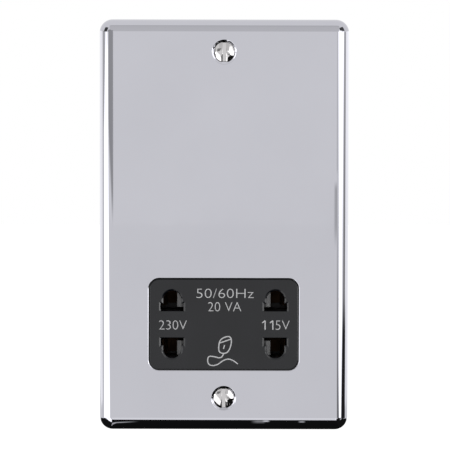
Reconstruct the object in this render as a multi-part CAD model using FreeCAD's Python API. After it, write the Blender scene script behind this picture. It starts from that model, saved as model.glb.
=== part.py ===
import FreeCAD, Part
import math
import os

Vector = FreeCAD.Vector
ALONG_X = Vector(1, 0, 0)
ALONG_Y = Vector(0, 1, 0)
ALONG_Z = Vector(0, 0, 1)
ORIGIN = Vector(0, 0, 0)

# A wall of even thickness changes a 45 degree corner bevel by this share of the thickness
BEVEL_STEP = 2 - math.sqrt(2)

# Sizes are in millimetres. X points right as seen from the room, Y into the wall and Z up.
# The origin is the middle of the plate on the face of the wall.

# Front plate, pressed from sheet with a rolled edge and two dimpled fixing holes
plate_w = 87.0
plate_end = 11.45
sheet = 1.2
edge_r = 4.6
skirt = 1.4
fixing_pitch = 120.6
dimple_r = 3.9
fixing_hole_r = 2.0
hole_land = 0.3
opening_bevel = 0.4

# Fixing screws, raised countersunk with a slot
fixing_thread_r = 1.75
fixing_neck_r = 1.5
fixing_neck = 0.3
fixing_head_r = 3.45
fixing_dome = 0.9
fixing_length = 25.0
fixing_slot_w = 1.2
fixing_slot_depth = 1.1
seat_gap = 0.05

# Socket insert and its pin entries, measured from the middle of the insert
outlet_pitch = 36.0
entry_inner = 4.64
blade_w = 7.9
blade_end = 7.3
arch_r = 3.1
arch_z = 8.71
entry_chamfer = 0.6
entry_lead = 0.3
insert_side = 3.25
insert_end = 3.29
insert_r = 3.3
insert_gap = 0.3
insert_recess = 0.2
insert_lip = 2.3
insert_flange_t = 1.8
insert_margin = 6.2

# Sliding shutter and the leaf that centres it
shutter_t = 3.0
shutter_travel = 1.8
shutter_inset = 0.5
slide_gap = 0.2
nose_setback = 1.55
nose_ramp = 1.6
nose_inset_inner = 1.2
nose_inset_outer = 0.7
leaf_t = 0.3
leaf_edge_gap = 0.3
leaf_half = 9.5
leaf_grip = 2.2
leaf_gap = 0.05
leaf_boss_hx = 1.5
leaf_boss_wall = 1.0
leaf_window_gap = 0.5

# Contact carrier, contacts and the cover that shuts them in
carrier_inset = 1.5
carrier_wall = 1.4
carrier_flange_t = 1.0
chamber_margin = 0.35
chamber_depth = 14.1
hollow_wall = 2.2
strip_t = 0.5
plug_pin_r = 2.4
clip_w = 5.4
clip_air = 0.45
clip_squeeze = 0.5
clip_flare = 0.4
clip_mouth_y = 2.6
clip_throat_y = 5.8
clip_knee_y = 9.6
clip_base_gap = 0.2
link_w = 3.0
link_gap = 0.25
tail_w = 3.0
tail_out = 4.0
tail_gap = 0.25
cover_t = 2.0
cover_screw_x = 8.0
cover_screw_r = 1.25
cover_screw_flats = 4.5
cover_screw_head_t = 1.8
cover_screw_length = 10.0
cover_boss_half = 3.0
bore_spare = 0.5

# Chassis behind the plate, its pillars and its screws
panel_t = 2.0
panel_bevel = 3.0
panel_margin = 1.0
panel_end_gap = 0.8
rim_w = 1.6
fit_gap = 0.2
clear_gap = 0.3
pillar_flats = 5.0
pillar_edge = 4.6
pillar_floor = 0.4
machine_screw_r = 1.5
machine_screw_flats = 5.5
machine_head_t = 2.0
thread_gap = 0.05
driver_slot_w = 0.8
driver_slot_depth = 0.9

# Transformer: scrapless laminations set out from the width of one outer limb
limb = 9.5
stack = 20.0
core_gap = 2.0
core_hole_gap = 0.15
post_inset = 0.3
bobbin_air = 1.0
bobbin_gap = 0.2
bobbin_wall = 1.0
bobbin_flange = 1.2
bobbin_divider = 1.3
window_gap = 0.3
bobbin_short = 1.0
winding_inset = 1.5
winding_bevel = 2.4
tape_t = 0.5
bobbin_pin_w = 0.8
bobbin_pin_length = 4.0
bobbin_pin_edge = 2.5
bobbin_pin_step = 3.0
cutout_w = 14.0
cutout_h = 8.0
cutout_t = 4.0
cutout_bevel = 1.0
cutout_offset = 9.0
cutout_lift = 2.2

# Terminal block, its three clamp terminals and the earth post
terminal_pitch = 14.0
terminal_w = 9.0
terminal_h = 11.0
terminal_length = 9.0
wire_bore_r = 2.0
wire_bore_y = 4.0
terminal_screw_r = 1.75
terminal_head_r = 2.6
terminal_head_t = 2.0
terminal_open = 2.0
screw_tip_gap = 0.3
solder_tab_w = 4.0
solder_tab_t = 0.8
solder_tab_length = 4.0
solder_tab_y = 7.7
spigot_w = 3.0
spigot_gap = 0.05
block_gap = 1.5
block_h = 15.0
block_wall = 1.6
deck_t = 2.0
deck_rise = 2.0
barrier_t = 1.6
barrier_rise = 2.0
ear_w = 6.6
ear_t = 3.0
ear_h = 8.0
earth_post_flats = 5.0

# Insulated leads
lead_r = 0.75
lead_sides = 8
lead_bend_r = 4.0
lead_bend_steps = 3
lead_offset = 2.5
lead_solder_gap = 1.5

# Front to back
front = -(edge_r + skirt)
inner_face = front + sheet
insert_face = front + insert_recess
insert_back = inner_face + insert_flange_t
shutter_front = insert_back + slide_gap
shutter_back = shutter_front + shutter_t
pocket_floor = shutter_back + slide_gap
carrier_back = pocket_floor + chamber_depth
cover_back = carrier_back + cover_t
tail_end = cover_back + tail_out
panel_front = insert_back + carrier_flange_t
panel_back = panel_front + panel_t
deck_back = cover_back + deck_rise
terminal_back = deck_back + terminal_h
barrier_back = terminal_back + barrier_rise
bobbin_reach = limb - bobbin_short
core_front = panel_back + bobbin_air + bobbin_reach
core_back = core_front + stack
bobbin_front = core_front - bobbin_reach
bobbin_back = core_back + bobbin_reach
tape_back = bobbin_back - winding_inset + tape_t
cutout_back = tape_back + cutout_t

# Plate outline and dimples; the dimple is a cone of 45 degrees pressed without thinning the sheet
fixing_z = fixing_pitch / 2
plate_hx = plate_w / 2
plate_hz = fixing_z + plate_end
flat_hx = plate_hx - edge_r
dimple_depth = dimple_r - fixing_hole_r
dimple_back = front + dimple_depth + hole_land
bump_front_r = dimple_r + (math.sqrt(2) - 1) * sheet
bump_back_r = bump_front_r - (dimple_back - inner_face)

# Insert, carrier and shutter half sizes, and the insert's place on the plate
outlet_x = outlet_pitch / 2
insert_hx = outlet_x + blade_w / 2 + entry_chamfer + insert_side
insert_hz = arch_z + arch_r + entry_chamfer + insert_end
insert_z = -fixing_z + dimple_r + insert_margin + insert_hz
flange_hx = insert_hx + insert_lip
flange_hz = insert_hz + insert_lip
carrier_hx = insert_hx - carrier_inset
carrier_hz = insert_hz - carrier_inset
pocket_hx = carrier_hx - carrier_wall
pocket_hz = carrier_hz - carrier_wall
chamber_hx = blade_w / 2 + chamber_margin
chamber_inner = entry_inner - chamber_margin
chamber_outer = arch_z + arch_r + chamber_margin
shutter_hx = outlet_x - chamber_hx - shutter_inset
shutter_hz = pocket_hz - slide_gap
hollow_hx = outlet_x - chamber_hx - hollow_wall
hollow_hz = pocket_hz - carrier_wall / 2
clip_mouth = chamber_hx - clip_air - strip_t
clip_throat = plug_pin_r - clip_squeeze
clip_base_x = clip_mouth - clip_flare
clip_base_y = carrier_back - clip_base_gap - strip_t

# Heights of the pieces behind the plate
carrier_top = insert_z + carrier_hz
block_bottom = carrier_top + block_gap
block_top = block_bottom + block_h
terminal_z = block_bottom + block_h / 2
tab_bottom = terminal_z + terminal_length / 2
tab_top = tab_bottom + solder_tab_length
tab_back = deck_back + solder_tab_y + solder_tab_t
core_bottom = tab_top + core_gap
core_hx = 3 * limb
window_bottom = core_bottom + limb
window_top = window_bottom + 3 * limb
core_top = window_top + limb
core_hole_x = core_hx - limb / 2
core_hole_zs = (core_bottom + limb / 2, core_top - limb / 2)
bobbin_bottom = window_bottom + bobbin_gap
bobbin_top = window_top - bobbin_gap
bobbin_hx = 2 * limb - window_gap
divider_middle = (bobbin_bottom + bobbin_top) / 2
tube_hx = limb + bobbin_gap + bobbin_wall
tube_ys = (core_front - bobbin_gap - bobbin_wall, core_back + bobbin_gap + bobbin_wall)
winding_hx = bobbin_hx - winding_inset
winding_ys = (bobbin_front + winding_inset, bobbin_back - winding_inset)
primary_zs = (bobbin_bottom + bobbin_flange, divider_middle - bobbin_divider / 2)
secondary_zs = (divider_middle + bobbin_divider / 2, bobbin_top - bobbin_flange)
side_pin_z = bobbin_top - bobbin_flange / 2
side_pin_end = bobbin_hx + bobbin_pin_length
panel_hx = flat_hx - panel_margin
panel_hz = fixing_z - bump_front_r - panel_end_gap
pillar_x = (flange_hx + flat_hx) / 2
pillar_z = panel_hz - pillar_edge
pillar_spots = [(x, z) for x in (-pillar_x, pillar_x) for z in (-pillar_z, pillar_z)]
core_spots = [(x, z) for x in (-core_hole_x, core_hole_x) for z in core_hole_zs]
block_hx = 1.5 * terminal_pitch + barrier_t / 2
ear_spots = [(x, terminal_z) for x in (-block_hx - ear_w / 2, block_hx + ear_w / 2)]
terminal_xs = (-terminal_pitch, 0.0, terminal_pitch)


def about(middle, half):
    """Limits of a span from its middle and half its length."""
    return (middle - half, middle + half)


def block(xs, ys, zs):
    """Box between the given limits on each axis."""
    corner = Vector(xs[0], ys[0], zs[0])
    return Part.makeBox(xs[1] - xs[0], ys[1] - ys[0], zs[1] - zs[0], corner)


def edges_along(box, axis):
    """The four edges of a box that run along one axis."""
    return [edge for edge in box.Edges if abs(edge.tangentAt(0).dot(axis)) > 0.5]


def rounded_block(xs, ys, zs, radius):
    """Box with its four edges along Y rounded."""
    box = block(xs, ys, zs)
    return box.makeFillet(radius, edges_along(box, ALONG_Y))


def bevelled_block(xs, ys, zs, bevel, axis=ALONG_Y):
    """Box with the four edges that run along one axis cut at 45 degrees."""
    box = block(xs, ys, zs)
    return box.makeChamfer(bevel, edges_along(box, axis))


def rod(radius, ys, x, z):
    """Round bar along Y."""
    return Part.makeCylinder(radius, ys[1] - ys[0], Vector(x, ys[0], z), ALONG_Y)


def taper(radii, ys, x, z):
    """Round bar along Y whose radius changes evenly from one end to the other."""
    return Part.makeCone(radii[0], radii[1], ys[1] - ys[0], Vector(x, ys[0], z), ALONG_Y)


def hex_bar(flats, ys, x, z):
    """Bar of hexagon section along Y, with corners above and below."""
    corners = []
    for step in range(6):
        turn = math.radians(60 * step)
        reach = flats / math.sqrt(3)
        corners.append(Vector(x + reach * math.sin(turn), ys[0], z + reach * math.cos(turn)))
    return prism(corners, ALONG_Y * (ys[1] - ys[0]))


def turned(outline, x, z):
    """Piece turned about an axis along Y from an outline of straight edges and arcs in X and Y."""
    solid = Part.Face(Part.Wire(outline)).revolve(ORIGIN, ALONG_Y, 360)
    return solid.translated(Vector(x, 0, z))


def straight_edges(points):
    """Straight edges that join points in order."""
    return [Part.LineSegment(a, b).toShape() for a, b in zip(points, points[1:])]


def prism(points, path):
    """Flat polygon pushed along a vector."""
    return Part.Face(Part.makePolygon(points + points[:1])).extrude(path)


def joined(first, *others):
    """Pieces moulded or folded as one."""
    return first.fuse(list(others)).removeSplitter()


def mirrored_x(shape):
    return shape.mirror(ORIGIN, ALONG_X)


def mirrored_z(shape):
    return shape.mirror(ORIGIN, ALONG_Z)


def at_insert(shape):
    """Moves a piece drawn about the middle of the insert to its place on the plate."""
    return shape.translated(Vector(0, 0, insert_z))


def edges_in_front(shape, y, xs, zs):
    """Edges that lie in the plane at y and inside the limits in X and Z."""
    slack = 0.001
    found = []
    for edge in shape.Edges:
        box = edge.BoundBox
        in_plane = abs(box.YMin - y) < slack and abs(box.YMax - y) < slack
        in_x = xs[0] - slack < box.XMin and box.XMax < xs[1] + slack
        in_z = zs[0] - slack < box.ZMin and box.ZMax < zs[1] + slack
        if in_plane and in_x and in_z:
            found.append(edge)
    return found


def pressed_tray(inset, face_y):
    """Solid tray form with rolled edges and ball corners, drawn in from the plate's outside by the inset."""
    tray = block(about(0, plate_hx - inset), (face_y, 0), about(0, plate_hz - inset))
    rolled = [edge for edge in tray.Edges if edge.BoundBox.YMin < -skirt]
    return tray.makeFillet(edge_r - inset, rolled)


def front_plate():
    """Pressed tray with an opening for the insert and two countersunk dimples."""
    plate = pressed_tray(0, front).cut(pressed_tray(sheet, inner_face))
    opening_xs = about(0, insert_hx + insert_gap)
    opening_zs = about(insert_z, insert_hz + insert_gap)
    opening = rounded_block(opening_xs, (front, 0), opening_zs, insert_r + insert_gap)
    plate = plate.cut(opening)
    plate = plate.makeChamfer(opening_bevel, edges_in_front(plate, front, opening_xs, opening_zs))
    for z in (-fixing_z, fixing_z):
        bump = taper((bump_front_r, bump_back_r), (inner_face, dimple_back), 0, z)
        dimple = taper((dimple_r, fixing_hole_r), (front, front + dimple_depth), 0, z)
        hole = rod(fixing_hole_r, (front, dimple_back), 0, z)
        plate = plate.fuse(bump).cut(dimple.fuse(hole))
    return plate.removeSplitter()


def fixing_screw(z):
    """Raised countersunk screw that sits in a dimple with its slot upright."""
    rim_y = front + dimple_r - fixing_head_r - seat_gap * math.sqrt(2)
    crown_y = rim_y - fixing_dome
    cone_end = rim_y + fixing_head_r - fixing_neck_r
    thread_y = cone_end + fixing_neck
    tip_y = rim_y + fixing_length
    dome_r = (fixing_head_r ** 2 + fixing_dome ** 2) / (2 * fixing_dome)
    half_turn = math.asin(fixing_head_r / dome_r) / 2
    crown = Vector(0, crown_y, 0)
    rim = Vector(fixing_head_r, rim_y, 0)
    between = Vector(dome_r * math.sin(half_turn), crown_y + dome_r * (1 - math.cos(half_turn)), 0)
    shank = [
        rim,
        Vector(fixing_neck_r, cone_end, 0),
        Vector(fixing_neck_r, thread_y, 0),
        Vector(fixing_thread_r, thread_y, 0),
        Vector(fixing_thread_r, tip_y, 0),
        Vector(0, tip_y, 0),
        crown,
    ]
    screw = turned([Part.Arc(crown, between, rim).toShape()] + straight_edges(shank), 0, z)
    slot = block(
        about(0, fixing_slot_w / 2),
        (crown_y, crown_y + fixing_slot_depth),
        about(z, fixing_head_r),
    )
    return screw.cut(slot)


def entry_outline(y, grow):
    """Outline of one pin entry: a flat slot that opens into an arch on its far side."""
    slot_x = blade_w / 2 + grow
    slot_z = blade_end + grow
    arch_x = arch_r + grow
    left = [
        Vector(-arch_x, y, arch_z),
        Vector(-arch_x, y, slot_z),
        Vector(-slot_x, y, slot_z),
        Vector(-slot_x, y, entry_inner),
        Vector(slot_x, y, entry_inner),
        Vector(slot_x, y, slot_z),
        Vector(arch_x, y, slot_z),
        Vector(arch_x, y, arch_z),
    ]
    arch = Part.Arc(left[-1], Vector(0, y, arch_z + arch_x), left[0]).toShape()
    return Part.Wire(straight_edges(left) + [arch])


def pin_entry():
    """Space of the upper entry of an outlet, with the shallow chamfer of its mouth."""
    mouth = Part.makeLoft(
        [entry_outline(insert_face, entry_chamfer), entry_outline(insert_face + entry_lead, 0)],
        True,
        True,
    )
    throat = Part.Face(entry_outline(insert_face, 0)).extrude(ALONG_Y * (insert_back - insert_face))
    return throat.fuse(mouth)


def socket_insert():
    """Moulded face with a flange behind the plate and two entries for each outlet."""
    face = rounded_block(
        about(0, insert_hx), (insert_face, insert_back), about(0, insert_hz), insert_r
    )
    flange = block(about(0, flange_hx), (inner_face, insert_back), about(0, flange_hz))
    insert = joined(face, flange)
    for x in (-outlet_x, outlet_x):
        entry = pin_entry().translated(Vector(x, 0, 0))
        insert = insert.cut([entry, mirrored_z(entry)])
    return at_insert(insert)


def shutter_nose():
    """Upper right nose of the shutter, with the faceted ramp that a plug pin pushes on."""
    tip = outlet_x - nose_setback
    root = outlet_x - chamber_hx - shutter_inset - strip_t
    ramp = [(0.0, 0.0), (0.5, 0.09), (0.93, 0.2), (1.0, 1.0)]
    bottom = entry_inner + nose_inset_inner
    top = arch_z + arch_r - nose_inset_outer
    outline = [Vector(root, shutter_back, bottom), Vector(root, shutter_front, bottom)]
    for along, back in ramp:
        outline.append(
            Vector(tip - nose_ramp * (1 - along), shutter_front + shutter_t * back, bottom)
        )
    return prism(outline, ALONG_Z * (top - bottom))


def shutter():
    """Sliding plate with four noses, a window for the leaf's boss and a slot for the leaf."""
    ys = (shutter_front, shutter_back)
    plate = block(about(0, shutter_hx), ys, about(0, shutter_hz))
    nose = shutter_nose()
    left_nose = mirrored_x(nose)
    plate = joined(plate, nose, left_nose, mirrored_z(nose), mirrored_z(left_nose))
    window_hx = leaf_boss_hx + shutter_travel + leaf_window_gap
    window_top_z = leaf_half - leaf_grip
    window = block(
        about(0, window_hx), ys, (-leaf_half - leaf_boss_wall - leaf_window_gap, window_top_z)
    )
    slot = block(about(0, leaf_t / 2 + leaf_gap), ys, (window_top_z, leaf_half + leaf_window_gap))
    return at_insert(plate.cut([window, slot]))


def shutter_spring():
    """Flat leaf held upright in the carrier's boss, with its free end in the shutter's slot."""
    ys = (shutter_front + leaf_edge_gap, shutter_back - leaf_edge_gap)
    return at_insert(block(about(0, leaf_t / 2), ys, about(0, leaf_half)))


def leaf_boss():
    """Slotted boss on the pocket floor that grips the lower end of the leaf."""
    boss_zs = (-leaf_half - leaf_boss_wall, -leaf_half + leaf_grip)
    boss = block(about(0, leaf_boss_hx), (shutter_front, pocket_floor), boss_zs)
    slot_ys = (shutter_front, shutter_back - leaf_edge_gap)
    slot = block(about(0, leaf_t / 2 + leaf_gap), slot_ys, (-leaf_half, boss_zs[1]))
    return boss.cut(slot)


def contact_carrier():
    """Moulding with a pocket for the shutter in front and a chamber behind each entry."""
    flange = block(about(0, flange_hx), (insert_back, panel_front), about(0, flange_hz))
    body = block(about(0, carrier_hx), (insert_back, carrier_back), about(0, carrier_hz))
    pocket = block(about(0, pocket_hx), (insert_back, pocket_floor), about(0, pocket_hz))
    carrier = joined(joined(flange, body).cut(pocket), leaf_boss())
    for x in (-outlet_x, outlet_x):
        chamber = block(
            about(x, chamber_hx), (pocket_floor, carrier_back), (chamber_inner, chamber_outer)
        )
        carrier = carrier.cut([chamber, mirrored_z(chamber)])
    hollow = block(
        about(0, hollow_hx), (pocket_floor + hollow_wall, carrier_back), about(0, hollow_hz)
    )
    bore_bottom = cover_back - cover_screw_length - bore_spare
    for x in (-cover_screw_x, cover_screw_x):
        boss_span = about(x, cover_boss_half)
        hollow = hollow.cut(block(boss_span, (pocket_floor, carrier_back), about(0, cover_boss_half)))
        bore = rod(cover_screw_r + thread_gap, (bore_bottom, carrier_back), x, 0)
        carrier = carrier.cut(bore)
    link_way = block(
        about(0, outlet_x),
        (clip_base_y - link_gap, carrier_back),
        about(-arch_z, link_w / 2 + link_gap),
    )
    return at_insert(carrier.cut([hollow, link_way]))


def bent_strip(points, path):
    """Strip of contact metal: a line in X and Y thickened to its left, pushed along a vector."""
    normals = []
    for a, b in zip(points, points[1:]):
        run = (b - a).normalize()
        normals.append(Vector(-run.y, run.x, 0))
    outside = [points[0] + normals[0] * strip_t]
    for point, before, after in zip(points[1:], normals, normals[1:]):
        outside.append(point + (before + after) * (strip_t / (1 + before.dot(after))))
    outside.append(points[-1] + normals[-1] * strip_t)
    return prism(points + outside[::-1], path)


def contact_clip(x, z):
    """Sprung clip that grips a plug pin, open towards the entry."""
    half = [
        (clip_mouth, pocket_floor + clip_mouth_y),
        (clip_throat, pocket_floor + clip_throat_y),
        (clip_base_x, pocket_floor + clip_knee_y),
        (clip_base_x, clip_base_y),
    ]
    bottom = z - clip_w / 2
    points = [Vector(x - across, y, bottom) for across, y in half]
    points += [Vector(x + across, y, bottom) for across, y in half[::-1]]
    return bent_strip(points, ALONG_Z * clip_w)


def contact_tail(x, z):
    """Tab that passes through the cover to take a lead."""
    return block(about(x, strip_t / 2), (clip_base_y, tail_end), about(z, tail_w / 2))


def single_contact(x):
    """Clip and tail behind one upper entry."""
    return at_insert(joined(contact_clip(x, arch_z), contact_tail(x, arch_z)))


def contact_common():
    """Both lower clips on one strip, with a single tail."""
    link = block(
        about(0, outlet_x), (clip_base_y, clip_base_y + strip_t), about(-arch_z, link_w / 2)
    )
    clips = [contact_clip(x, -arch_z) for x in (-outlet_x, outlet_x)]
    return at_insert(joined(link, contact_tail(-outlet_x, -arch_z), *clips))


def contact_cover():
    """Flat moulding with a slot for each tail and two screw holes."""
    ys = (carrier_back, cover_back)
    cover = block(about(0, carrier_hx), ys, about(0, carrier_hz))
    for x, z in ((-outlet_x, arch_z), (outlet_x, arch_z), (-outlet_x, -arch_z)):
        slot = block(about(x, strip_t / 2 + tail_gap), ys, about(z, tail_w / 2 + tail_gap))
        cover = cover.cut(slot)
    holes = [rod(cover_screw_r + thread_gap, ys, x, 0) for x in (-cover_screw_x, cover_screw_x)]
    return at_insert(cover.cut(holes))


def hex_screw(x, z, seat_ys, shank_r, flats, head_t):
    """Hexagon-head screw driven towards the plate, its shank between the given limits."""
    head = hex_bar(flats, (seat_ys[1], seat_ys[1] + head_t), x, z)
    return joined(head, rod(shank_r, seat_ys, x, z))


def cover_screws():
    """Pair of screws through the cover into the carrier's bosses."""
    ys = (cover_back - cover_screw_length, cover_back)
    screws = []
    for x in (-cover_screw_x, cover_screw_x):
        screw = hex_screw(x, 0, ys, cover_screw_r, cover_screw_flats, cover_screw_head_t)
        screws.append(at_insert(screw))
    return Part.makeCompound(screws)


def plate_pillars():
    """Threaded pillars welded to the back of the plate."""
    pillars = []
    for x, z in pillar_spots:
        pillar = hex_bar(pillar_flats, (inner_face, panel_front), x, z)
        bore_ys = (inner_face + pillar_floor, panel_front)
        pillars.append(pillar.cut(rod(machine_screw_r + thread_gap, bore_ys, x, z)))
    return Part.makeCompound(pillars)


def chassis_rim():
    """Wall round the front of the chassis that bears on the plate, clear of insert and pillars."""
    ys = (inner_face, panel_front)
    outside = bevelled_block(about(0, panel_hx), ys, about(0, panel_hz), panel_bevel)
    inside_bevel = panel_bevel - BEVEL_STEP * rim_w
    inside = bevelled_block(about(0, panel_hx - rim_w), ys, about(0, panel_hz - rim_w), inside_bevel)
    flange_space = block(
        about(0, flange_hx + clear_gap), ys, about(insert_z, flange_hz + clear_gap)
    )
    pillar_half = pillar_flats / math.sqrt(3) + clear_gap
    pillar_spaces = [block(about(x, pillar_half), ys, about(z, pillar_half)) for x, z in pillar_spots]
    return outside.cut([inside, flange_space] + pillar_spaces)


def chassis():
    """Moulded panel that clamps the carrier to the plate and stands the transformer off."""
    ys = (panel_front, panel_back)
    panel = bevelled_block(about(0, panel_hx), ys, about(0, panel_hz), panel_bevel)
    post_half = limb / 2 - post_inset
    post_ys = (panel_back, core_front)
    posts = [block(about(x, post_half), post_ys, about(z, post_half)) for x, z in core_spots]
    frame = joined(panel, chassis_rim(), *posts)
    carrier_way = block(about(0, carrier_hx + fit_gap), ys, about(insert_z, carrier_hz + fit_gap))
    holes = [carrier_way, hex_bar(earth_post_flats + 2 * fit_gap, ys, 0, terminal_z)]
    for x, z in pillar_spots + ear_spots:
        holes.append(rod(machine_screw_r + thread_gap, ys, x, z))
    for x, z in core_spots:
        holes.append(rod(machine_screw_r + thread_gap, post_ys, x, z))
    return frame.cut(holes)


def machine_screws(spots, ys):
    """Set of like screws with their shanks between the given limits."""
    screws = [
        hex_screw(x, z, ys, machine_screw_r, machine_screw_flats, machine_head_t) for x, z in spots
    ]
    return Part.makeCompound(screws)


def core_e_laminations():
    """E stack: a yoke below with a wide middle limb and two outer limbs."""
    ys = (core_front, core_back)
    stack_block = block(about(0, core_hx), ys, (core_bottom, window_top))
    windows = [block(xs, ys, (window_bottom, window_top)) for xs in ((-2 * limb, -limb), (limb, 2 * limb))]
    hole_r = machine_screw_r + core_hole_gap
    holes = [rod(hole_r, ys, x, core_hole_zs[0]) for x in (-core_hole_x, core_hole_x)]
    return stack_block.cut(windows + holes)


def core_i_laminations():
    """I stack that closes the limbs at the top."""
    ys = (core_front, core_back)
    bar = block(about(0, core_hx), ys, (window_top, core_top))
    hole_r = machine_screw_r + core_hole_gap
    holes = [rod(hole_r, ys, x, core_hole_zs[1]) for x in (-core_hole_x, core_hole_x)]
    return bar.cut(holes)


def bobbin():
    """Moulded tube on the middle limb, with two end flanges and a divider."""
    tube = block(about(0, tube_hx), tube_ys, (bobbin_bottom, bobbin_top))
    flange_zs = (
        (bobbin_bottom, bobbin_bottom + bobbin_flange),
        about(divider_middle, bobbin_divider / 2),
        (bobbin_top - bobbin_flange, bobbin_top),
    )
    flanges = [block(about(0, bobbin_hx), (bobbin_front, bobbin_back), zs) for zs in flange_zs]
    limb_way = block(
        about(0, limb + bobbin_gap),
        (core_front - bobbin_gap, core_back + bobbin_gap),
        (bobbin_bottom, bobbin_top),
    )
    return joined(tube, *flanges).cut(limb_way)


def winding(zs):
    """Layers of wire round the tube, as one body."""
    outside = bevelled_block(about(0, winding_hx), winding_ys, zs, winding_bevel, ALONG_Z)
    return outside.cut(block(about(0, tube_hx), tube_ys, zs))


def winding_tape(zs):
    """Tape wrapped over a winding."""
    ys = (winding_ys[0] - tape_t, winding_ys[1] + tape_t)
    outside_bevel = winding_bevel + BEVEL_STEP * tape_t
    outside = bevelled_block(about(0, winding_hx + tape_t), ys, zs, outside_bevel, ALONG_Z)
    return outside.cut(bevelled_block(about(0, winding_hx), winding_ys, zs, winding_bevel, ALONG_Z))


def thermal_cutout():
    """Sealed cutout laid on the primary's tape; one leg goes into the winding."""
    zs = (primary_zs[0] + cutout_lift, primary_zs[0] + cutout_lift + cutout_h)
    return bevelled_block(
        about(-cutout_offset, cutout_w / 2), (tape_back, cutout_back), zs, cutout_bevel
    )


def side_pin(side, y):
    """Square solder pin out of the side of the top flange; side is -1 on the left and 1 on the right."""
    xs = sorted((side * bobbin_hx, side * side_pin_end))
    return block(xs, about(y, bobbin_pin_w / 2), about(side_pin_z, bobbin_pin_w / 2))


def primary_pin():
    """Square solder pin below the bottom flange."""
    xs = about(terminal_pitch, bobbin_pin_w / 2)
    return block(xs, about(primary_pin_y, bobbin_pin_w / 2), (primary_pin_bottom, bobbin_bottom))


def lead_section(start, along):
    """Section of a lead, square to its first run."""
    across = ALONG_Z.cross(along).normalize()
    points = []
    for step in range(lead_sides + 1):
        turn = 2 * math.pi * (step + 0.5) / lead_sides
        points.append(start + (across * math.cos(turn) + ALONG_Z * math.sin(turn)) * lead_r)
    return Part.makePolygon(points)


def lead(*corners):
    """Insulated wire through the given corners, each turned in short steps about the same bend radius."""
    path = [corners[0]]
    for before, corner, after in zip(corners, corners[1:], corners[2:]):
        towards = (before - corner).normalize()
        away = (after - corner).normalize()
        turn = math.pi - towards.getAngle(away)
        centre = corner + (towards + away).normalize() * (lead_bend_r / math.cos(turn / 2))
        setback = lead_bend_r * math.tan(turn / 2)
        enter = corner + towards * setback - centre
        leave = corner + away * setback - centre
        for step in range(lead_bend_steps + 1):
            part = turn * step / lead_bend_steps
            swung = enter * math.sin(turn - part) + leave * math.sin(part)
            path.append(centre + swung * (1 / math.sin(turn)))
    path.append(corners[-1])
    section = lead_section(corners[0], corners[1] - corners[0])
    return Part.makePolygon(path).makePipeShell([section], True, False, 1)


def outlet_lead(side, pin_y, tail_rel_z):
    """Lead from a side pin of the bobbin, down beside the core to a contact's tail."""
    down_x = side * (core_hx + lead_offset)
    tail_y = tail_end - lead_solder_gap
    tail_z = insert_z + tail_rel_z
    return lead(
        Vector(side * side_pin_end, pin_y, side_pin_z),
        Vector(down_x, pin_y, side_pin_z),
        Vector(down_x, tail_y, tail_z),
        Vector(side * (outlet_x + strip_t / 2), tail_y, tail_z),
    )


def terminal(x, live_side):
    """Brass clamp terminal; those on the live side have a solder tab and a square spigot."""
    body = block(
        about(x, terminal_w / 2), (deck_back, terminal_back), about(terminal_z, terminal_length / 2)
    )
    if live_side:
        tab_ys = (tab_back - solder_tab_t, tab_back)
        tab = block(about(x, solder_tab_w / 2), tab_ys, (tab_bottom, tab_top))
        spigot_ys = (deck_back - deck_t, deck_back)
        spigot = block(about(x, spigot_w / 2), spigot_ys, about(terminal_z, spigot_w / 2))
        body = joined(body, tab, spigot)
    bore_start = Vector(x, deck_back + wire_bore_y, terminal_z - terminal_length / 2)
    wire_bore = Part.makeCylinder(wire_bore_r, terminal_length, bore_start, ALONG_Z)
    screw_way = rod(
        terminal_screw_r + thread_gap, (deck_back + wire_bore_y, terminal_back), x, terminal_z
    )
    return body.cut([wire_bore, screw_way])


def terminal_screws():
    """Clamp screws, backed off so that the wire bores are open."""
    tip_y = deck_back + wire_bore_y + wire_bore_r + screw_tip_gap
    seat_y = terminal_back + terminal_open
    head_ys = (seat_y, seat_y + terminal_head_t)
    slot_ys = (head_ys[1] - driver_slot_depth, head_ys[1])
    screws = []
    for x in terminal_xs:
        head = rod(terminal_head_r, head_ys, x, terminal_z)
        shank = rod(terminal_screw_r, (tip_y, seat_y), x, terminal_z)
        slot = block(about(x, terminal_head_r), slot_ys, about(terminal_z, driver_slot_w / 2))
        screws.append(joined(head, shank).cut(slot))
    return Part.makeCompound(screws)


def terminal_block():
    """Moulded deck on the chassis with barriers between the terminals and two screwed ears."""
    zs = (block_bottom, block_top)
    base = block(about(0, block_hx), (panel_back, deck_back), zs)
    hollow = block(
        about(0, block_hx - block_wall),
        (panel_back, deck_back - deck_t),
        (block_bottom + block_wall, block_top - block_wall),
    )
    barrier_xs = [(step - 1.5) * terminal_pitch for step in range(4)]
    barriers = [block(about(x, barrier_t / 2), (deck_back, barrier_back), zs) for x in barrier_xs]
    ear_hx = block_hx + ear_w
    ears = block(about(0, ear_hx), (panel_back, panel_back + ear_t), about(terminal_z, ear_h / 2))
    deck = joined(base, ears, *barriers)
    post_way = hex_bar(earth_post_flats + 2 * fit_gap, (panel_back, deck_back), 0, terminal_z)
    ways = [hollow, post_way]
    spigot_half = spigot_w / 2 + spigot_gap
    for x in (-terminal_pitch, terminal_pitch):
        spigot_ys = (deck_back - deck_t, deck_back)
        ways.append(block(about(x, spigot_half), spigot_ys, about(terminal_z, spigot_half)))
    for x, z in ear_spots:
        ways.append(rod(machine_screw_r + thread_gap, (panel_back, panel_back + ear_t), x, z))
    return deck.cut(ways)


def earth_post():
    """Hexagon post welded to the plate that carries earth to the middle terminal."""
    return hex_bar(earth_post_flats, (inner_face, deck_back), 0, terminal_z)


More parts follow.
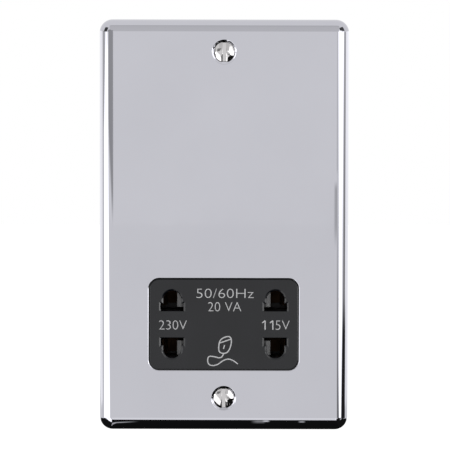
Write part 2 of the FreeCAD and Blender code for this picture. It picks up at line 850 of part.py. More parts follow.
left_pin_y = bobbin_back - bobbin_pin_edge - bobbin_pin_step
common_pin_y = bobbin_back - bobbin_pin_edge
right_pin_y = (left_pin_y + common_pin_y) / 2
primary_pin_y = bobbin_back - bobbin_pin_edge
primary_pin_bottom = bobbin_bottom - bobbin_pin_length
cutout_bottom = primary_zs[0] + cutout_lift
tab_middle = (tab_bottom + tab_top) / 2
cutout_lead_y = (tape_back + cutout_back) / 2

chassis_screw_ys = (inner_face + 2 * pillar_floor, panel_back)
ear_screw_ys = (panel_front, panel_back + ear_t)

nodes = {
    "front_plate": front_plate(),
    "plate_pillars": plate_pillars(),
    "fixing_screws": Part.makeCompound([fixing_screw(z) for z in (-fixing_z, fixing_z)]),
    "socket_insert": socket_insert(),
    "shutter": shutter(),
    "shutter_spring": shutter_spring(),
    "contact_carrier": contact_carrier(),
    "contact_230": single_contact(-outlet_x),
    "contact_115": single_contact(outlet_x),
    "contact_common": contact_common(),
    "contact_cover": contact_cover(),
    "cover_screws": cover_screws(),
    "chassis": chassis(),
    "chassis_screws": machine_screws(pillar_spots, chassis_screw_ys),
    "core_e_laminations": core_e_laminations(),
    "core_i_laminations": core_i_laminations(),
    "transformer_screws": machine_screws(core_spots, (panel_back, core_back)),
    "bobbin": bobbin(),
    "bobbin_pins": Part.makeCompound(
        [primary_pin(), side_pin(-1, left_pin_y), side_pin(-1, common_pin_y), side_pin(1, right_pin_y)]
    ),
    "primary_winding": winding(primary_zs),
    "secondary_winding": winding(secondary_zs),
    "primary_tape": winding_tape(primary_zs),
    "secondary_tape": winding_tape(secondary_zs),
    "thermal_cutout": thermal_cutout(),
    "terminal_block": terminal_block(),
    "terminal_block_screws": machine_screws(ear_spots, ear_screw_ys),
    "terminal_live": terminal(-terminal_pitch, True),
    "terminal_neutral": terminal(terminal_pitch, True),
    "terminal_earth": terminal(0.0, False),
    "terminal_screws": terminal_screws(),
    "earth_post": earth_post(),
    "lead_live": lead(
        Vector(-terminal_pitch, tab_back, tab_middle),
        Vector(-terminal_pitch, cutout_lead_y, tab_middle),
        Vector(-terminal_pitch, cutout_lead_y, cutout_bottom),
    ),
    "lead_neutral": lead(
        Vector(terminal_pitch, tab_back, tab_middle),
        Vector(terminal_pitch, primary_pin_y, tab_middle),
        Vector(terminal_pitch, primary_pin_y, primary_pin_bottom),
    ),
    "lead_230": outlet_lead(-1, left_pin_y, arch_z),
    "lead_115": outlet_lead(1, right_pin_y, arch_z),
    "lead_common": outlet_lead(-1, common_pin_y, -arch_z),
}

os.makedirs("parts", exist_ok=True)
for name, shape in nodes.items():
    shape.exportStep(os.path.join("parts", name + ".step"))
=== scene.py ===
import math
import random

import bmesh
import bpy
from mathutils import Matrix, Vector


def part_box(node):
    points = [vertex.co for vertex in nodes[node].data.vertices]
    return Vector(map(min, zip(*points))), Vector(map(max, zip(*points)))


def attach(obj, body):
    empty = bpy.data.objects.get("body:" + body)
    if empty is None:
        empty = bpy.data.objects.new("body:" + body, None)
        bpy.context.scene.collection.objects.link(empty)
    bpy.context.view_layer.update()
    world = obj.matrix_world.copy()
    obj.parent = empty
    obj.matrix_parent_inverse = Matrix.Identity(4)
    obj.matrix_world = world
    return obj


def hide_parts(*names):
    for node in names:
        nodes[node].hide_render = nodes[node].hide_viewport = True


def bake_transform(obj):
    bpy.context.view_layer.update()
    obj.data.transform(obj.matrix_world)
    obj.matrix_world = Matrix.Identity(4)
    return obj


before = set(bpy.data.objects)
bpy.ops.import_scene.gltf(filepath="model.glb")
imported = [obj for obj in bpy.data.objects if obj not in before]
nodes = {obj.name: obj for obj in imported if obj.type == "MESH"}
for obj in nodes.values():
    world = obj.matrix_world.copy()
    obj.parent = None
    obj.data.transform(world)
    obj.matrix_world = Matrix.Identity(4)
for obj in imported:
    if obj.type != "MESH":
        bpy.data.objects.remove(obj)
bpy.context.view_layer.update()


# Front plate
# A tray pressed from 1.2 mm steel sheet, its edge rolled round to the wall, with an opening for the
# insert and two dimpled fixing holes. It is polished and chromium plated after pressing.

mm = 0.001
corner_steps = 14
roll_steps = 16
front = -6.0 * mm
sheet = 1.2 * mm
edge_r = 4.6 * mm
fixing_z = 60.3 * mm
insert_z = -34.5 * mm
plate_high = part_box("front_plate")[1]
plate_core = (plate_high.x - edge_r, plate_high.z - edge_r)


def ring(bm, core, middle_z, reach, y):
    """Closed outline in a plane of equal y: a core rectangle grown by reach, with round corners."""
    verts = bmesh.ops.create_circle(bm, segments=4 * (corner_steps + 1), radius=1)["verts"]
    for index, vert in enumerate(verts):
        corner, step = divmod(index, corner_steps + 1)
        turn = (corner + step / corner_steps) * math.pi / 2
        middle = (corner + 0.5) * math.pi / 2
        side_x = math.copysign(core[0], math.cos(middle))
        side_z = math.copysign(core[1], math.sin(middle))
        vert.co = (side_x + reach * math.cos(turn), y, middle_z + side_z + reach * math.sin(turn))
    return verts


def skin(bm, core, middle_z, profile, closed=False):
    """Surface through rings of the given (reach, y) steps, led back to the first if closed.

    The rings stand well apart while they are bridged, because rings in one plane can be joined crosswise.
    """
    rings = [ring(bm, core, middle_z, reach, apart) for apart, (reach, y) in enumerate(profile)]
    loops = [list({edge for vert in verts for edge in vert.link_edges}) for verts in rings]
    for near, far in zip(loops, loops[1:] + loops[:1] if closed else loops[1:]):
        bmesh.ops.bridge_loops(bm, edges=near + far)
    for verts, (reach, y) in zip(rings, profile):
        for vert in verts:
            vert.co.y = y


def quarter(middle, radius, first, last, steps):
    """Steps of (reach, y) along an arc about a middle, in degrees from straight ahead."""
    for step in range(steps + 1):
        turn = math.radians(first + (last - first) * step / steps)
        yield middle[0] + radius * math.sin(turn), middle[1] - radius * math.cos(turn)


def add_piece(name, bm, sharp=30.0):
    """Makes the finished mesh an object, smooth except along edges sharper than the given angle."""
    mesh = bpy.data.meshes.new(name)
    bm.to_mesh(mesh)
    bm.free()
    mesh.shade_smooth()
    mesh.set_sharp_from_angle(angle=math.radians(sharp))
    piece = bpy.data.objects.new(name, mesh)
    bpy.context.scene.collection.objects.link(piece)
    return piece


def even_shading(piece, name):
    """Lets large flat faces keep their own normals, so that they mirror without a bend."""
    even = piece.modifiers.new(name, "WEIGHTED_NORMAL")
    even.mode = "FACE_AREA"
    even.weight = 100
    even.keep_sharp = True


def settle(piece, body, material, slot, *replaced):
    """Gives a piece its finish, the body it rides on and the solids it stands for."""
    piece.data.materials.append(material)
    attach(piece, body)
    if replaced:
        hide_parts(*replaced)


flat_reach = 0.05 * mm
roll_middle = (0, front + edge_r)
outer_roll = list(quarter(roll_middle, edge_r, 0, 90, roll_steps))[1:]
inner_roll = list(quarter(roll_middle, edge_r - sheet, 90, 0, roll_steps))[:-1]
opening_r = 3.6 * mm
opening_half = (26.1 * mm, 16.0 * mm)
opening_core = (opening_half[0] - opening_r, opening_half[1] - opening_r)
opening_round = 0.45 * mm
rim_steps = 6
rim_middle = (opening_r + opening_round, front + opening_round)
dimple_r = 4.3 * mm
dimple_slope = 34.5
dimple_round = 0.3 * mm
dimple_steps = 8
dimple_floor_r = 3.4 * mm
hole_r = 2.0 * mm
cone_end = front + 1.9 * mm
dimple_back = front + 2.2 * mm
bump_r = 4.397 * mm
bump_back_r = 3.397 * mm
lean = math.tan(math.radians(dimple_slope / 2)) * dimple_round
dimple_rim = (dimple_r + lean, front + dimple_round)
dimple_depth = (dimple_r - dimple_floor_r) * math.tan(math.radians(dimple_slope))
dimple_floor = (dimple_floor_r, front + dimple_depth)

plate = bmesh.new()
skin(
    plate,
    plate_core,
    0,
    [(flat_reach, front)] + outer_roll + [(edge_r, 0), (edge_r - sheet, 0)] + inner_roll
    + [(flat_reach, front + sheet)],
)
skin(
    plate,
    opening_core,
    insert_z,
    list(quarter(rim_middle, opening_round, 0, -90, rim_steps)) + [(opening_r, front + sheet)],
)
for z in (-fixing_z, fixing_z):
    skin(
        plate,
        (0, 0),
        z,
        list(quarter(dimple_rim, dimple_round, 0, -dimple_slope, dimple_steps))
        + [dimple_floor, (hole_r, cone_end), (hole_r, dimple_back)]
        + [(bump_back_r, dimple_back), (bump_r, front + sheet)],
    )
same_point = 1e-6
bmesh.ops.remove_doubles(plate, verts=plate.verts, dist=same_point)
mid_sheet = front + sheet / 2
front_edges = [edge for edge in plate.edges if edge.is_boundary and edge.verts[0].co.y < mid_sheet]
inner_edges = [edge for edge in plate.edges if edge.is_boundary and edge.verts[0].co.y > mid_sheet]
bmesh.ops.triangle_fill(plate, edges=front_edges, use_beauty=True, normal=(0, -1, 0))
bmesh.ops.triangle_fill(plate, edges=inner_edges, use_beauty=True, normal=(0, 1, 0))
bmesh.ops.recalc_face_normals(plate, faces=plate.faces)
plate_piece = add_piece("polished_front_plate", plate, 40)
even_shading(plate_piece, "even_face")


def node_group(name, inputs, outputs):
    """Empty shader group with its sockets and its input and output nodes."""
    group = bpy.data.node_groups.new(name, "ShaderNodeTree")
    for socket, kind, value in inputs:
        made = group.interface.new_socket(socket, in_out="INPUT", socket_type=kind)
        made.default_value = value
    for socket, kind in outputs:
        group.interface.new_socket(socket, in_out="OUTPUT", socket_type=kind)
    entry = group.nodes.new("NodeGroupInput")
    leave = group.nodes.new("NodeGroupOutput")
    return group, entry, leave


def noise_in(tree, place, scale, detail):
    """Noise over the piece; the scale is a number or a socket."""
    noise = tree.nodes.new("ShaderNodeTexNoise")
    noise.inputs["Detail"].default_value = detail
    tree.links.new(place, noise.inputs["Vector"])
    if isinstance(scale, (int, float)):
        noise.inputs["Scale"].default_value = scale
    else:
        tree.links.new(scale, noise.inputs["Scale"])
    return noise.outputs["Fac"]


def spread_in(tree, value, low, high, source=(0.3, 0.7)):
    """Value remapped from its source range to the range between two sockets or numbers."""
    remap = tree.nodes.new("ShaderNodeMapRange")
    remap.inputs["From Min"].default_value = source[0]
    remap.inputs["From Max"].default_value = source[1]
    tree.links.new(value, remap.inputs["Value"])
    for socket, limit in (("To Min", low), ("To Max", high)):
        if isinstance(limit, (int, float)):
            remap.inputs[socket].default_value = limit
        else:
            tree.links.new(limit, remap.inputs[socket])
    return remap.outputs["Result"]


def tinted_in(tree, first, second, mask):
    """Colour between two sockets by a mask."""
    mix = tree.nodes.new("ShaderNodeMix")
    mix.data_type = "RGBA"
    tree.links.new(mask, mix.inputs["Factor"])
    tree.links.new(first, mix.inputs["A"])
    tree.links.new(second, mix.inputs["B"])
    return mix.outputs["Result"]


surface, entry, leave = node_group(
    "surface_variation",
    [
        ("Tone", "NodeSocketColor", (0.5, 0.5, 0.5, 1)),
        ("Other Tone", "NodeSocketColor", (0.5, 0.5, 0.5, 1)),
        ("Patch Scale", "NodeSocketFloat", 60.0),
        ("Grain Scale", "NodeSocketFloat", 2500.0),
        ("Rough Low", "NodeSocketFloat", 0.2),
        ("Rough High", "NodeSocketFloat", 0.4),
    ],
    [("Color", "NodeSocketColor"), ("Roughness", "NodeSocketFloat"), ("Height", "NodeSocketFloat")],
)
place = surface.nodes.new("ShaderNodeTexCoord").outputs["Object"]
patches = noise_in(surface, place, entry.outputs["Patch Scale"], 4)
grain = noise_in(surface, place, entry.outputs["Grain Scale"], 2)
patch_mask = spread_in(surface, patches, 0.0, 1.0)
rough = spread_in(surface, patches, entry.outputs["Rough Low"], entry.outputs["Rough High"])
tone = tinted_in(surface, entry.outputs["Tone"], entry.outputs["Other Tone"], patch_mask)
surface.links.new(tone, leave.inputs["Color"])
surface.links.new(rough, leave.inputs["Roughness"])
surface.links.new(grain, leave.inputs["Height"])


def finish(
    name,
    tone,
    other_tone,
    roughness,
    metallic=0.0,
    gloss=0.5,
    patch=60.0,
    grain=2500.0,
    bump=0.05,
    depth=0.02,
):
    """Material with patches of two tones, uneven gloss and a fine grain; depth is in millimetres."""
    material = bpy.data.materials.new(name)
    material.use_nodes = True
    tree = material.node_tree
    shader = tree.nodes["Principled BSDF"]
    shader.inputs["Metallic"].default_value = metallic
    shader.inputs["Specular IOR Level"].default_value = gloss
    variation = tree.nodes.new("ShaderNodeGroup")
    variation.node_tree = surface
    variation.inputs["Tone"].default_value = (*tone, 1)
    variation.inputs["Other Tone"].default_value = (*other_tone, 1)
    variation.inputs["Patch Scale"].default_value = patch
    variation.inputs["Grain Scale"].default_value = grain
    variation.inputs["Rough Low"].default_value = roughness[0]
    variation.inputs["Rough High"].default_value = roughness[1]
    relief = tree.nodes.new("ShaderNodeBump")
    relief.inputs["Strength"].default_value = bump
    relief.inputs["Distance"].default_value = depth * mm
    tree.links.new(variation.outputs["Color"], shader.inputs["Base Color"])
    tree.links.new(variation.outputs["Roughness"], shader.inputs["Roughness"])
    tree.links.new(variation.outputs["Height"], relief.inputs["Height"])
    tree.links.new(relief.outputs["Normal"], shader.inputs["Normal"])
    return material


chrome = finish(
    "polished_chromium",
    (0.552, 0.552, 0.60),
    (0.535, 0.535, 0.582),
    (0.015, 0.045),
    metallic=1.0,
    patch=35.0,
    grain=70.0,
    bump=0.35,
    depth=0.012,
)
settle(plate_piece, "socket", chrome, "polished_plate", "front_plate")


# Pillars and earth post
# Hexagon pillars stud-welded to the back of the plate before it is plated, tapped for the chassis
# screws, and a longer brass post that brings the plate to the earth terminal.

corner_angle = 40


def dress(node, material, soft=0.0):
    """Gives a solid its finish and takes the sharpness off its edges; soft is in millimetres."""
    solid = nodes[node]
    solid.data.materials.clear()
    solid.data.materials.append(material)
    if soft:
        weld = solid.modifiers.new("joined_faces", "WELD")
        weld.merge_threshold = same_point
        edge = solid.modifiers.new("soft_edges", "BEVEL")
        edge.width = soft * mm
        edge.segments = 2
        edge.limit_method = "ANGLE"
        edge.angle_limit = math.radians(corner_angle)
        edge.use_clamp_overlap = True


zinc = finish("zinc_plate", (0.42, 0.43, 0.44), (0.52, 0.53, 0.53), (0.28, 0.42), metallic=1.0, patch=150.0)
brass = finish("brass", (0.62, 0.42, 0.16), (0.55, 0.36, 0.13), (0.22, 0.36), metallic=1.0, patch=120.0)
dress("plate_pillars", zinc, 0.15)
dress("earth_post", brass, 0.2)


# Socket insert
# Black moulding let into the opening from behind, held by its flange. It has two entries for each
# voltage, a slot that opens into an arch, with chamfered mouths that lead a plug pin in.

insert_black = finish(
    "insert_black",
    (0.0025, 0.003, 0.005),
    (0.004, 0.0045, 0.007),
    (0.16, 0.22),
    gloss=0.44,
    patch=90.0,
    grain=5000.0,
    bump=0.1,
)
dress("socket_insert", insert_black, 0.22)


# Markings
# Voltage, frequency and power printed on the face of the insert in one pass of light grey ink,
# with a plain picture of a shaver and its cord below them.

print_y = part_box("socket_insert")[0].y
ink_t = 0.03 * mm
stroke = 0.4 * mm
cap_height = 3.25 * mm
type_thinning = -0.017
ink = finish("marking_ink", (0.47, 0.47, 0.48), (0.43, 0.43, 0.44), (0.45, 0.6), patch=700.0, grain=9000.0)
markings = bmesh.new()


def press(curve, fitted=None):
    """Turns a drawn curve into ink on the face: as drawn about the insert's middle, or fitted to a box."""
    drawn = bpy.data.objects.new("drawn", curve)
    bpy.context.scene.collection.objects.link(drawn)
    bpy.context.view_layer.update()
    mesh = bpy.data.meshes.new_from_object(drawn.evaluated_get(bpy.context.evaluated_depsgraph_get()))
    bpy.data.objects.remove(drawn)
    low = Vector([min(vert.co[axis] for vert in mesh.vertices) for axis in range(3)])
    high = Vector([max(vert.co[axis] for vert in mesh.vertices) for axis in range(3)])
    x, z, width, height = fitted or (*((low + high) / 2).xy, *(high - low).xy)
    size = Matrix.Diagonal((width / (high.x - low.x), height / (high.y - low.y), ink_t / (high.z - low.z), 1))
    stand = Matrix.Translation((x, print_y - ink_t / 2, insert_z + z)) @ Matrix.Rotation(math.pi / 2, 4, "X")
    mesh.transform(stand @ size @ Matrix.Translation(-(low + high) / 2))
    markings.from_mesh(mesh)
    bpy.data.meshes.remove(mesh)


def print_text(text, x, z, width):
    """Prints one line of capitals of the given width about its middle, in millimetres."""
    curve = bpy.data.curves.new("type", "FONT")
    curve.body = text
    curve.resolution_u = 4
    curve.offset = type_thinning
    curve.extrude = ink_t
    press(curve, (x * mm, z * mm, width * mm, cap_height))


def print_stroke(points, closed=False):
    """Prints a smooth line of one stroke's width along control points in millimetres."""
    curve = bpy.data.curves.new("stroke", "CURVE")
    curve.dimensions = "3D"
    curve.bevel_depth = stroke / 2
    curve.bevel_resolution = 2
    curve.resolution_u = 6
    curve.use_fill_caps = True
    line = curve.splines.new("NURBS")
    line.points.add(len(points) - 1)
    for point, (x, z) in zip(line.points, points):
        point.co = (x * mm, z * mm, 0, 1)
    line.order_u = min(3, len(points))
    line.use_cyclic_u = closed
    line.use_endpoint_u = not closed
    press(curve)


voltage_z = -0.2
print_text("230V", -17.75, voltage_z, 9.7)
print_text("5V", 20.5, voltage_z, 4.9)
# The ones of the lower voltage are drawn as strokes with a short flag and no foot.
for one_x in (14.4, 17.1):
    print_stroke([(one_x, -1.8), (one_x, 1.4)])
    print_stroke([(one_x, 1.4), (one_x - 1.0, 0.6)])
print_text("50/60Hz", 0.45, 10.9, 20.0)
print_text("20 VA", 0.3, 6.2, 11.6)
print_stroke([(-1.2, -5.0), (2.2, -3.8), (2.9, -6.1), (1.5, -10.2), (-1.7, -10.0), (-1.8, -7.4)], closed=True)
print_stroke([(-1.5, -6.5), (2.5, -5.1)])
print_stroke([(0.3, -7.2), (-0.1, -8.5)])
print_stroke(
    [
        (0.0, -10.0), (-0.6, -12.0), (-3.4, -11.2), (-5.6, -11.0), (-5.6, -14.2),
        (-2.6, -14.5), (0.2, -12.2), (2.8, -12.0), (4.9, -13.8),
    ]
)
markings_piece = add_piece("printed_markings", markings)
markings_piece.data.materials.append(ink)
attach(markings_piece, "socket")


# Shutter and its leaf
# A grey sliding plate behind the insert. A plug in one outlet pushes its nose across and shuts the
# other outlet. A spring steel leaf, gripped below by the carrier, brings it back to the middle.

shutter_grey = finish(
    "shutter_grey",
    (0.026, 0.026, 0.028),
    (0.036, 0.036, 0.038),
    (0.25, 0.35),
    patch=120.0,
    grain=5000.0,
    bump=0.1,
)
dress("shutter", shutter_grey, 0.12)

spring_steel = finish(
    "spring_steel", (0.36, 0.37, 0.40), (0.44, 0.45, 0.47), (0.2, 0.3), metallic=1.0, patch=200.0
)
leaf_cuts = 23
leaf_low, leaf_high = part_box("shutter_spring")
leaf_middle = (leaf_low + leaf_high) / 2
leaf = bmesh.new()
leaf_place = Matrix.Translation(leaf_middle) @ Matrix.Diagonal((*(leaf_high - leaf_low), 1))
bmesh.ops.create_cube(leaf, size=1, matrix=leaf_place)
upright = [edge for edge in leaf.edges if abs(edge.verts[0].co.z - edge.verts[1].co.z) > 1 * mm]
bmesh.ops.subdivide_edges(leaf, edges=upright, cuts=leaf_cuts, use_grid_fill=True)
leaf_piece = add_piece("shutter_leaf", leaf)
leaf_piece.data.materials.append(spring_steel)
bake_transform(leaf_piece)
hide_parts("shutter_spring")


# Contact carrier and contacts
# Black moulding behind the insert with a chamber for each pin. Sprung bronze clips sit in the
# chambers, the lower pair on one strip, and a flat cover screwed on behind keeps them in.

moulding_black = finish(
    "moulding_black",
    (0.022, 0.022, 0.024),
    (0.029, 0.029, 0.032),
    (0.4, 0.55),
    patch=70.0,
    grain=3500.0,
    bump=0.2,
)
# The clips' bronze is painted far darker and rougher than bare bronze. This is painted shade of the deep
# chambers, so that the entries read black.
shaded_bronze = finish(
    "contact_bronze", (0.09, 0.055, 0.034), (0.07, 0.042, 0.026), (0.6, 0.75), metallic=1.0, patch=180.0
)
dress("contact_carrier", moulding_black, 0.2)
dress("contact_cover", moulding_black, 0.2)
for contact in ("contact_230", "contact_115", "contact_common"):
    dress(contact, shaded_bronze, 0.08)

thread_steps = 18
thread_rise = 0.45
thread_foot = 0.98
thread_sink = 0.02 * mm
thread_core = 0.86
head_chamfer = 0.3 * mm
shank_sides = 24


def add_copies(bm, part, places):
    """Lays copies of one bmesh into another at the given places and frees it."""
    mesh = bpy.data.meshes.new("copies")
    for place in places:
        moved = part.copy()
        bmesh.ops.translate(moved, verts=moved.verts, vec=place)
        moved.to_mesh(mesh)
        moved.free()
        bm.from_mesh(mesh)
    part.free()
    bpy.data.meshes.remove(mesh)


def thread(bm, radius, start, end, pitch):
    """Ridge of a screw thread along Y: one turn of a small three-sided section, laid end to end."""
    turn = bmesh.new()
    section = [
        turn.verts.new((radius - thread_sink, start, 0)),
        turn.verts.new((radius + thread_rise * pitch, start + pitch / 2, 0)),
        turn.verts.new((radius - thread_sink, start + thread_foot * pitch, 0)),
    ]
    edges = [turn.edges.new((section[index - 1], section[index])) for index in range(3)]
    bmesh.ops.spin(
        turn,
        geom=section + edges,
        cent=(0, 0, 0),
        axis=(0, 1, 0),
        dvec=(0, pitch / thread_steps, 0),
        angle=2 * math.pi,
        steps=thread_steps,
    )
    ridge = bmesh.new()
    turns = int((end - start) / pitch - 1)
    add_copies(ridge, turn, [(0, pitch * count, 0) for count in range(turns)])
    bmesh.ops.remove_doubles(ridge, verts=ridge.verts, dist=same_point)
    bmesh.ops.holes_fill(ridge, edges=ridge.edges)
    bmesh.ops.recalc_face_normals(ridge, faces=ridge.faces)
    add_copies(bm, ridge, [(0, 0, 0)])


def hexagon_screws(name, spots, ys, shank_r, flats, head_t):
    """Screws with a chamfered hexagon head seated at the second of two y limits, points at the first."""
    upright = Matrix.Rotation(math.pi / 2, 4, "X")
    corner_r = flats / math.sqrt(3)
    screw = bmesh.new()
    bmesh.ops.create_cone(
        screw,
        cap_ends=True,
        segments=6,
        radius1=corner_r,
        radius2=corner_r,
        depth=head_t,
        matrix=Matrix.Translation((0, ys[1] + head_t / 2, 0)) @ upright,
    )
    outer = [edge for edge in screw.edges if min(vert.co.y for vert in edge.verts) > ys[1] + head_t / 2]
    bmesh.ops.bevel(
        screw,
        geom=outer,
        offset=head_chamfer,
        affect="EDGES",
        segments=2,
        profile=0.5,
        material=-1,
        clamp_overlap=True,
    )
    core_r = shank_r * thread_core
    bmesh.ops.create_cone(
        screw,
        cap_ends=True,
        segments=shank_sides,
        radius1=core_r,
        radius2=core_r,
        depth=ys[1] - ys[0],
        matrix=Matrix.Translation((0, (ys[0] + ys[1]) / 2, 0)) @ upright,
    )
    thread(screw, core_r, ys[0], ys[1], (shank_r - core_r) / thread_rise)
    bmesh.ops.recalc_face_normals(screw, faces=screw.faces)
    screws = bmesh.new()
    add_copies(screws, screw, [(x, 0, z) for x, z in spots])
    return add_piece(name, screws)


cover_x = 8.0 * mm
cover_screw_piece = hexagon_screws(
    "cover_screws_threaded",
    [(-cover_x, insert_z), (cover_x, insert_z)],
    ys=(6.5 * mm, 16.5 * mm),
    shank_r=1.25 * mm,
    flats=4.5 * mm,
    head_t=1.8 * mm,
)
settle(cover_screw_piece, "socket", zinc, "zinc_steel", "cover_screws")


# Chassis
# White moulded frame that clamps the carrier against the plate and stands the transformer off on
# four square posts. Four screws hold it to the plate's pillars.

chassis_white = finish(
    "chassis_white", (0.70, 0.70, 0.67), (0.64, 0.64, 0.61), (0.38, 0.5), patch=45.0, grain=2200.0, bump=0.15
)
dress("chassis", chassis_white, 0.3)
pillar_x = 33.5 * mm
pillar_z = 50.5 * mm
m3_r = 1.5 * mm
m3_flats = 5.5 * mm
m3_head = 2.0 * mm
pillar_spots = [(x, z) for x in (-pillar_x, pillar_x) for z in (-pillar_z, pillar_z)]
chassis_screw_piece = hexagon_screws(
    "chassis_screws_threaded", pillar_spots, (-4.0 * mm, 0), m3_r, m3_flats, m3_head
)
settle(chassis_screw_piece, "socket", zinc, "zinc_steel", "chassis_screws")


# Transformer core
# Stacks of half-millimetre silicon steel sheets, stamped as E and I and laid face to face, with a
# blue-grey oxide skin. Four long screws clamp them to the posts.

limb = 9.5 * mm
sheets = 40
e_low, e_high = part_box("core_e_laminations")
i_low, i_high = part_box("core_i_laminations")
sheet_pitch = (e_high.y - e_low.y) / sheets
rest_gap = 0.04 * mm
slip_aside = 0.04
slip_up = 0.02
uneven = random.Random(7)

e_stack = bmesh.new()
bmesh.ops.create_grid(e_stack, x_segments=6, y_segments=4, size=0.5)
for vert in e_stack.verts:
    vert.co = (vert.co.x * 6 * limb, e_low.y, e_low.z + (vert.co.y + 0.5) * 4 * limb)
windows = [
    face
    for face in e_stack.faces
    if limb < abs(face.calc_center_median().x) < 2 * limb and face.calc_center_median().z > e_low.z + limb
]
bmesh.ops.delete(e_stack, geom=windows, context="FACES")
bmesh.ops.dissolve_limit(e_stack, angle_limit=0.01, verts=e_stack.verts, edges=e_stack.edges)
i_stack = bmesh.new()
bmesh.ops.create_grid(i_stack, x_segments=1, y_segments=1, size=0.5)
for vert in i_stack.verts:
    vert.co = (vert.co.x * 6 * limb, i_low.y, i_low.z + (vert.co.y + 0.5) * limb)


def shift_copy(bm, geom, vec):
    """Moves the points among what an operator has just made."""
    bmesh.ops.translate(bm, verts=[part for part in geom if isinstance(part, bmesh.types.BMVert)], vec=vec)


def stack_up(bm, name):
    """Thickens one stamped sheet and lays the rest of the stack on it, each a hair out of line."""
    raised = bmesh.ops.extrude_face_region(bm, geom=list(bm.faces))["geom"]
    shift_copy(bm, raised, (0, sheet_pitch - rest_gap, 0))
    bmesh.ops.recalc_face_normals(bm, faces=bm.faces)
    first = list(bm.verts) + list(bm.edges) + list(bm.faces)
    for count in range(1, sheets):
        copy = bmesh.ops.duplicate(bm, geom=first)["geom"]
        aside = uneven.uniform(-slip_aside, 0) * mm
        up = uneven.uniform(-slip_up, slip_up) * mm
        shift_copy(bm, copy, (aside, count * sheet_pitch, up))
    return add_piece(name, bm)


lamination = finish(
    "lamination_steel",
    (0.16, 0.165, 0.18),
    (0.24, 0.235, 0.23),
    (0.38, 0.55),
    metallic=1.0,
    patch=240.0,
    grain=4000.0,
)
settle(stack_up(e_stack, "e_sheets"), "socket", lamination, "lamination_steel", "core_e_laminations")
settle(stack_up(i_stack, "i_sheets"), "socket", lamination, "lamination_steel", "core_i_laminations")
core_spots = [(x, z) for x in (-2.5 * limb, 2.5 * limb) for z in (e_low.z + limb / 2, i_high.z - limb / 2)]
core_screw_piece = hexagon_screws(
    "transformer_screws_threaded", core_spots, (0, e_high.y), m3_r, m3_flats, m3_head
)
settle(core_screw_piece, "socket", zinc, "zinc_steel", "transformer_screws")


# Bobbin and windings
# Nylon bobbin on the middle limb with the primary below its divider and the secondary above. Each
# winding of enamelled copper is wrapped in yellow polyester tape; square tinned pins take the leads.

nylon = finish("bobbin_nylon", (0.72, 0.69, 0.60), (0.66, 0.63, 0.54), (0.35, 0.48), patch=80.0, grain=3000.0)
tinned = finish("tinned_pin", (0.62, 0.62, 0.60), (0.55, 0.55, 0.54), (0.25, 0.4), metallic=1.0, patch=300.0)
copper = finish(
    "winding_copper", (0.50, 0.17, 0.07), (0.42, 0.13, 0.05), (0.2, 0.32), metallic=1.0, patch=400.0
)
dress("bobbin", nylon, 0.2)
dress("bobbin_pins", tinned, 0.08)
dress("primary_winding", copper)
dress("secondary_winding", copper)

tape_yellow = finish(
    "tape_yellow", (0.72, 0.45, 0.03), (0.66, 0.40, 0.02), (0.18, 0.3), patch=130.0, grain=1500.0, bump=0.1
)
wrap_r = 4.0 * mm
wrap_t = 0.45 * mm
flap_t = 0.05 * mm
flap_width = 11 * mm
flap_x = 3.5 * mm


def tape_wrap(name, node):
    """Closed band of tape with rounded corners, and the stuck-down end of its last turn at the back."""
    low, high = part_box(node)
    half = (high - low) / 2
    middle = (low + high) / 2
    core = (half.x - wrap_r, half.y - wrap_r)
    reach = wrap_r - flap_t
    bm = bmesh.new()
    skin(
        bm,
        core,
        0,
        [(reach, -half.z), (reach, half.z), (reach - wrap_t, half.z), (reach - wrap_t, -half.z)],
        closed=True,
    )
    flap_size = Matrix.Diagonal((flap_width, 2 * half.z, flap_t, 1))
    flap_place = Matrix.Translation((flap_x, 0, half.y - flap_t / 2))
    bmesh.ops.create_cube(bm, size=1, matrix=flap_place @ flap_size)
    bmesh.ops.recalc_face_normals(bm, faces=bm.faces)
    lay = Matrix.Translation(middle) @ Matrix.Rotation(-math.pi / 2, 4, "X")
    bmesh.ops.transform(bm, matrix=lay, verts=bm.verts)
    return add_piece(name, bm)


for name, tape in (("primary_tape_wrap", "primary_tape"), ("secondary_tape_wrap", "secondary_tape")):
    settle(tape_wrap(name, tape), "socket", tape_yellow, "tape_yellow", tape)


# Thermal cutout
# Sealed white cutout stuck to the tape of the primary, where it feels the heat of the winding. It is
# in line with the live lead and breaks it when the transformer is overloaded.

cutout_white = finish(
    "cutout_white", (0.74, 0.73, 0.70), (0.68, 0.67, 0.63), (0.3, 0.42), patch=90.0, grain=2500.0
)
dress("thermal_cutout", cutout_white, 0.35)


# Terminal block
# Black moulded deck screwed to the chassis, with barriers between three brass clamp terminals.
# Their slotted screws stand backed off, so that the wire bores are open.

dress("terminal_block", moulding_black, 0.25)
block_x = 25.1 * mm
terminal_x = 14 * mm
terminal_z = -11.3 * mm
block_spots = [(-block_x, terminal_z), (block_x, terminal_z)]
block_screw_piece = hexagon_screws(
    "block_screws_threaded", block_spots, (-2.0 * mm, 3.0 * mm), m3_r, m3_flats, m3_head
)
settle(block_screw_piece, "socket", zinc, "zinc_steel", "terminal_block_screws")
for terminal in ("terminal_live", "terminal_neutral", "terminal_earth"):
    dress(terminal, brass, 0.15)


def turn_profile(bm, profile, steps):
    """Turns (radius, y) steps about the Y axis into a closed round form."""
    verts = [bm.verts.new((radius, y, 0)) for radius, y in profile]
    edges = [bm.edges.new(pair) for pair in zip(verts, verts[1:])]
    bmesh.ops.spin(
        bm,
        geom=verts + edges,
        cent=(0, 0, 0),
        axis=(0, 1, 0),
        angle=2 * math.pi,
        steps=steps,
        use_merge=True,
    )
    bmesh.ops.remove_doubles(bm, verts=bm.verts, dist=same_point / 10)
    bmesh.ops.recalc_face_normals(bm, faces=bm.faces)


broken_angle = 35


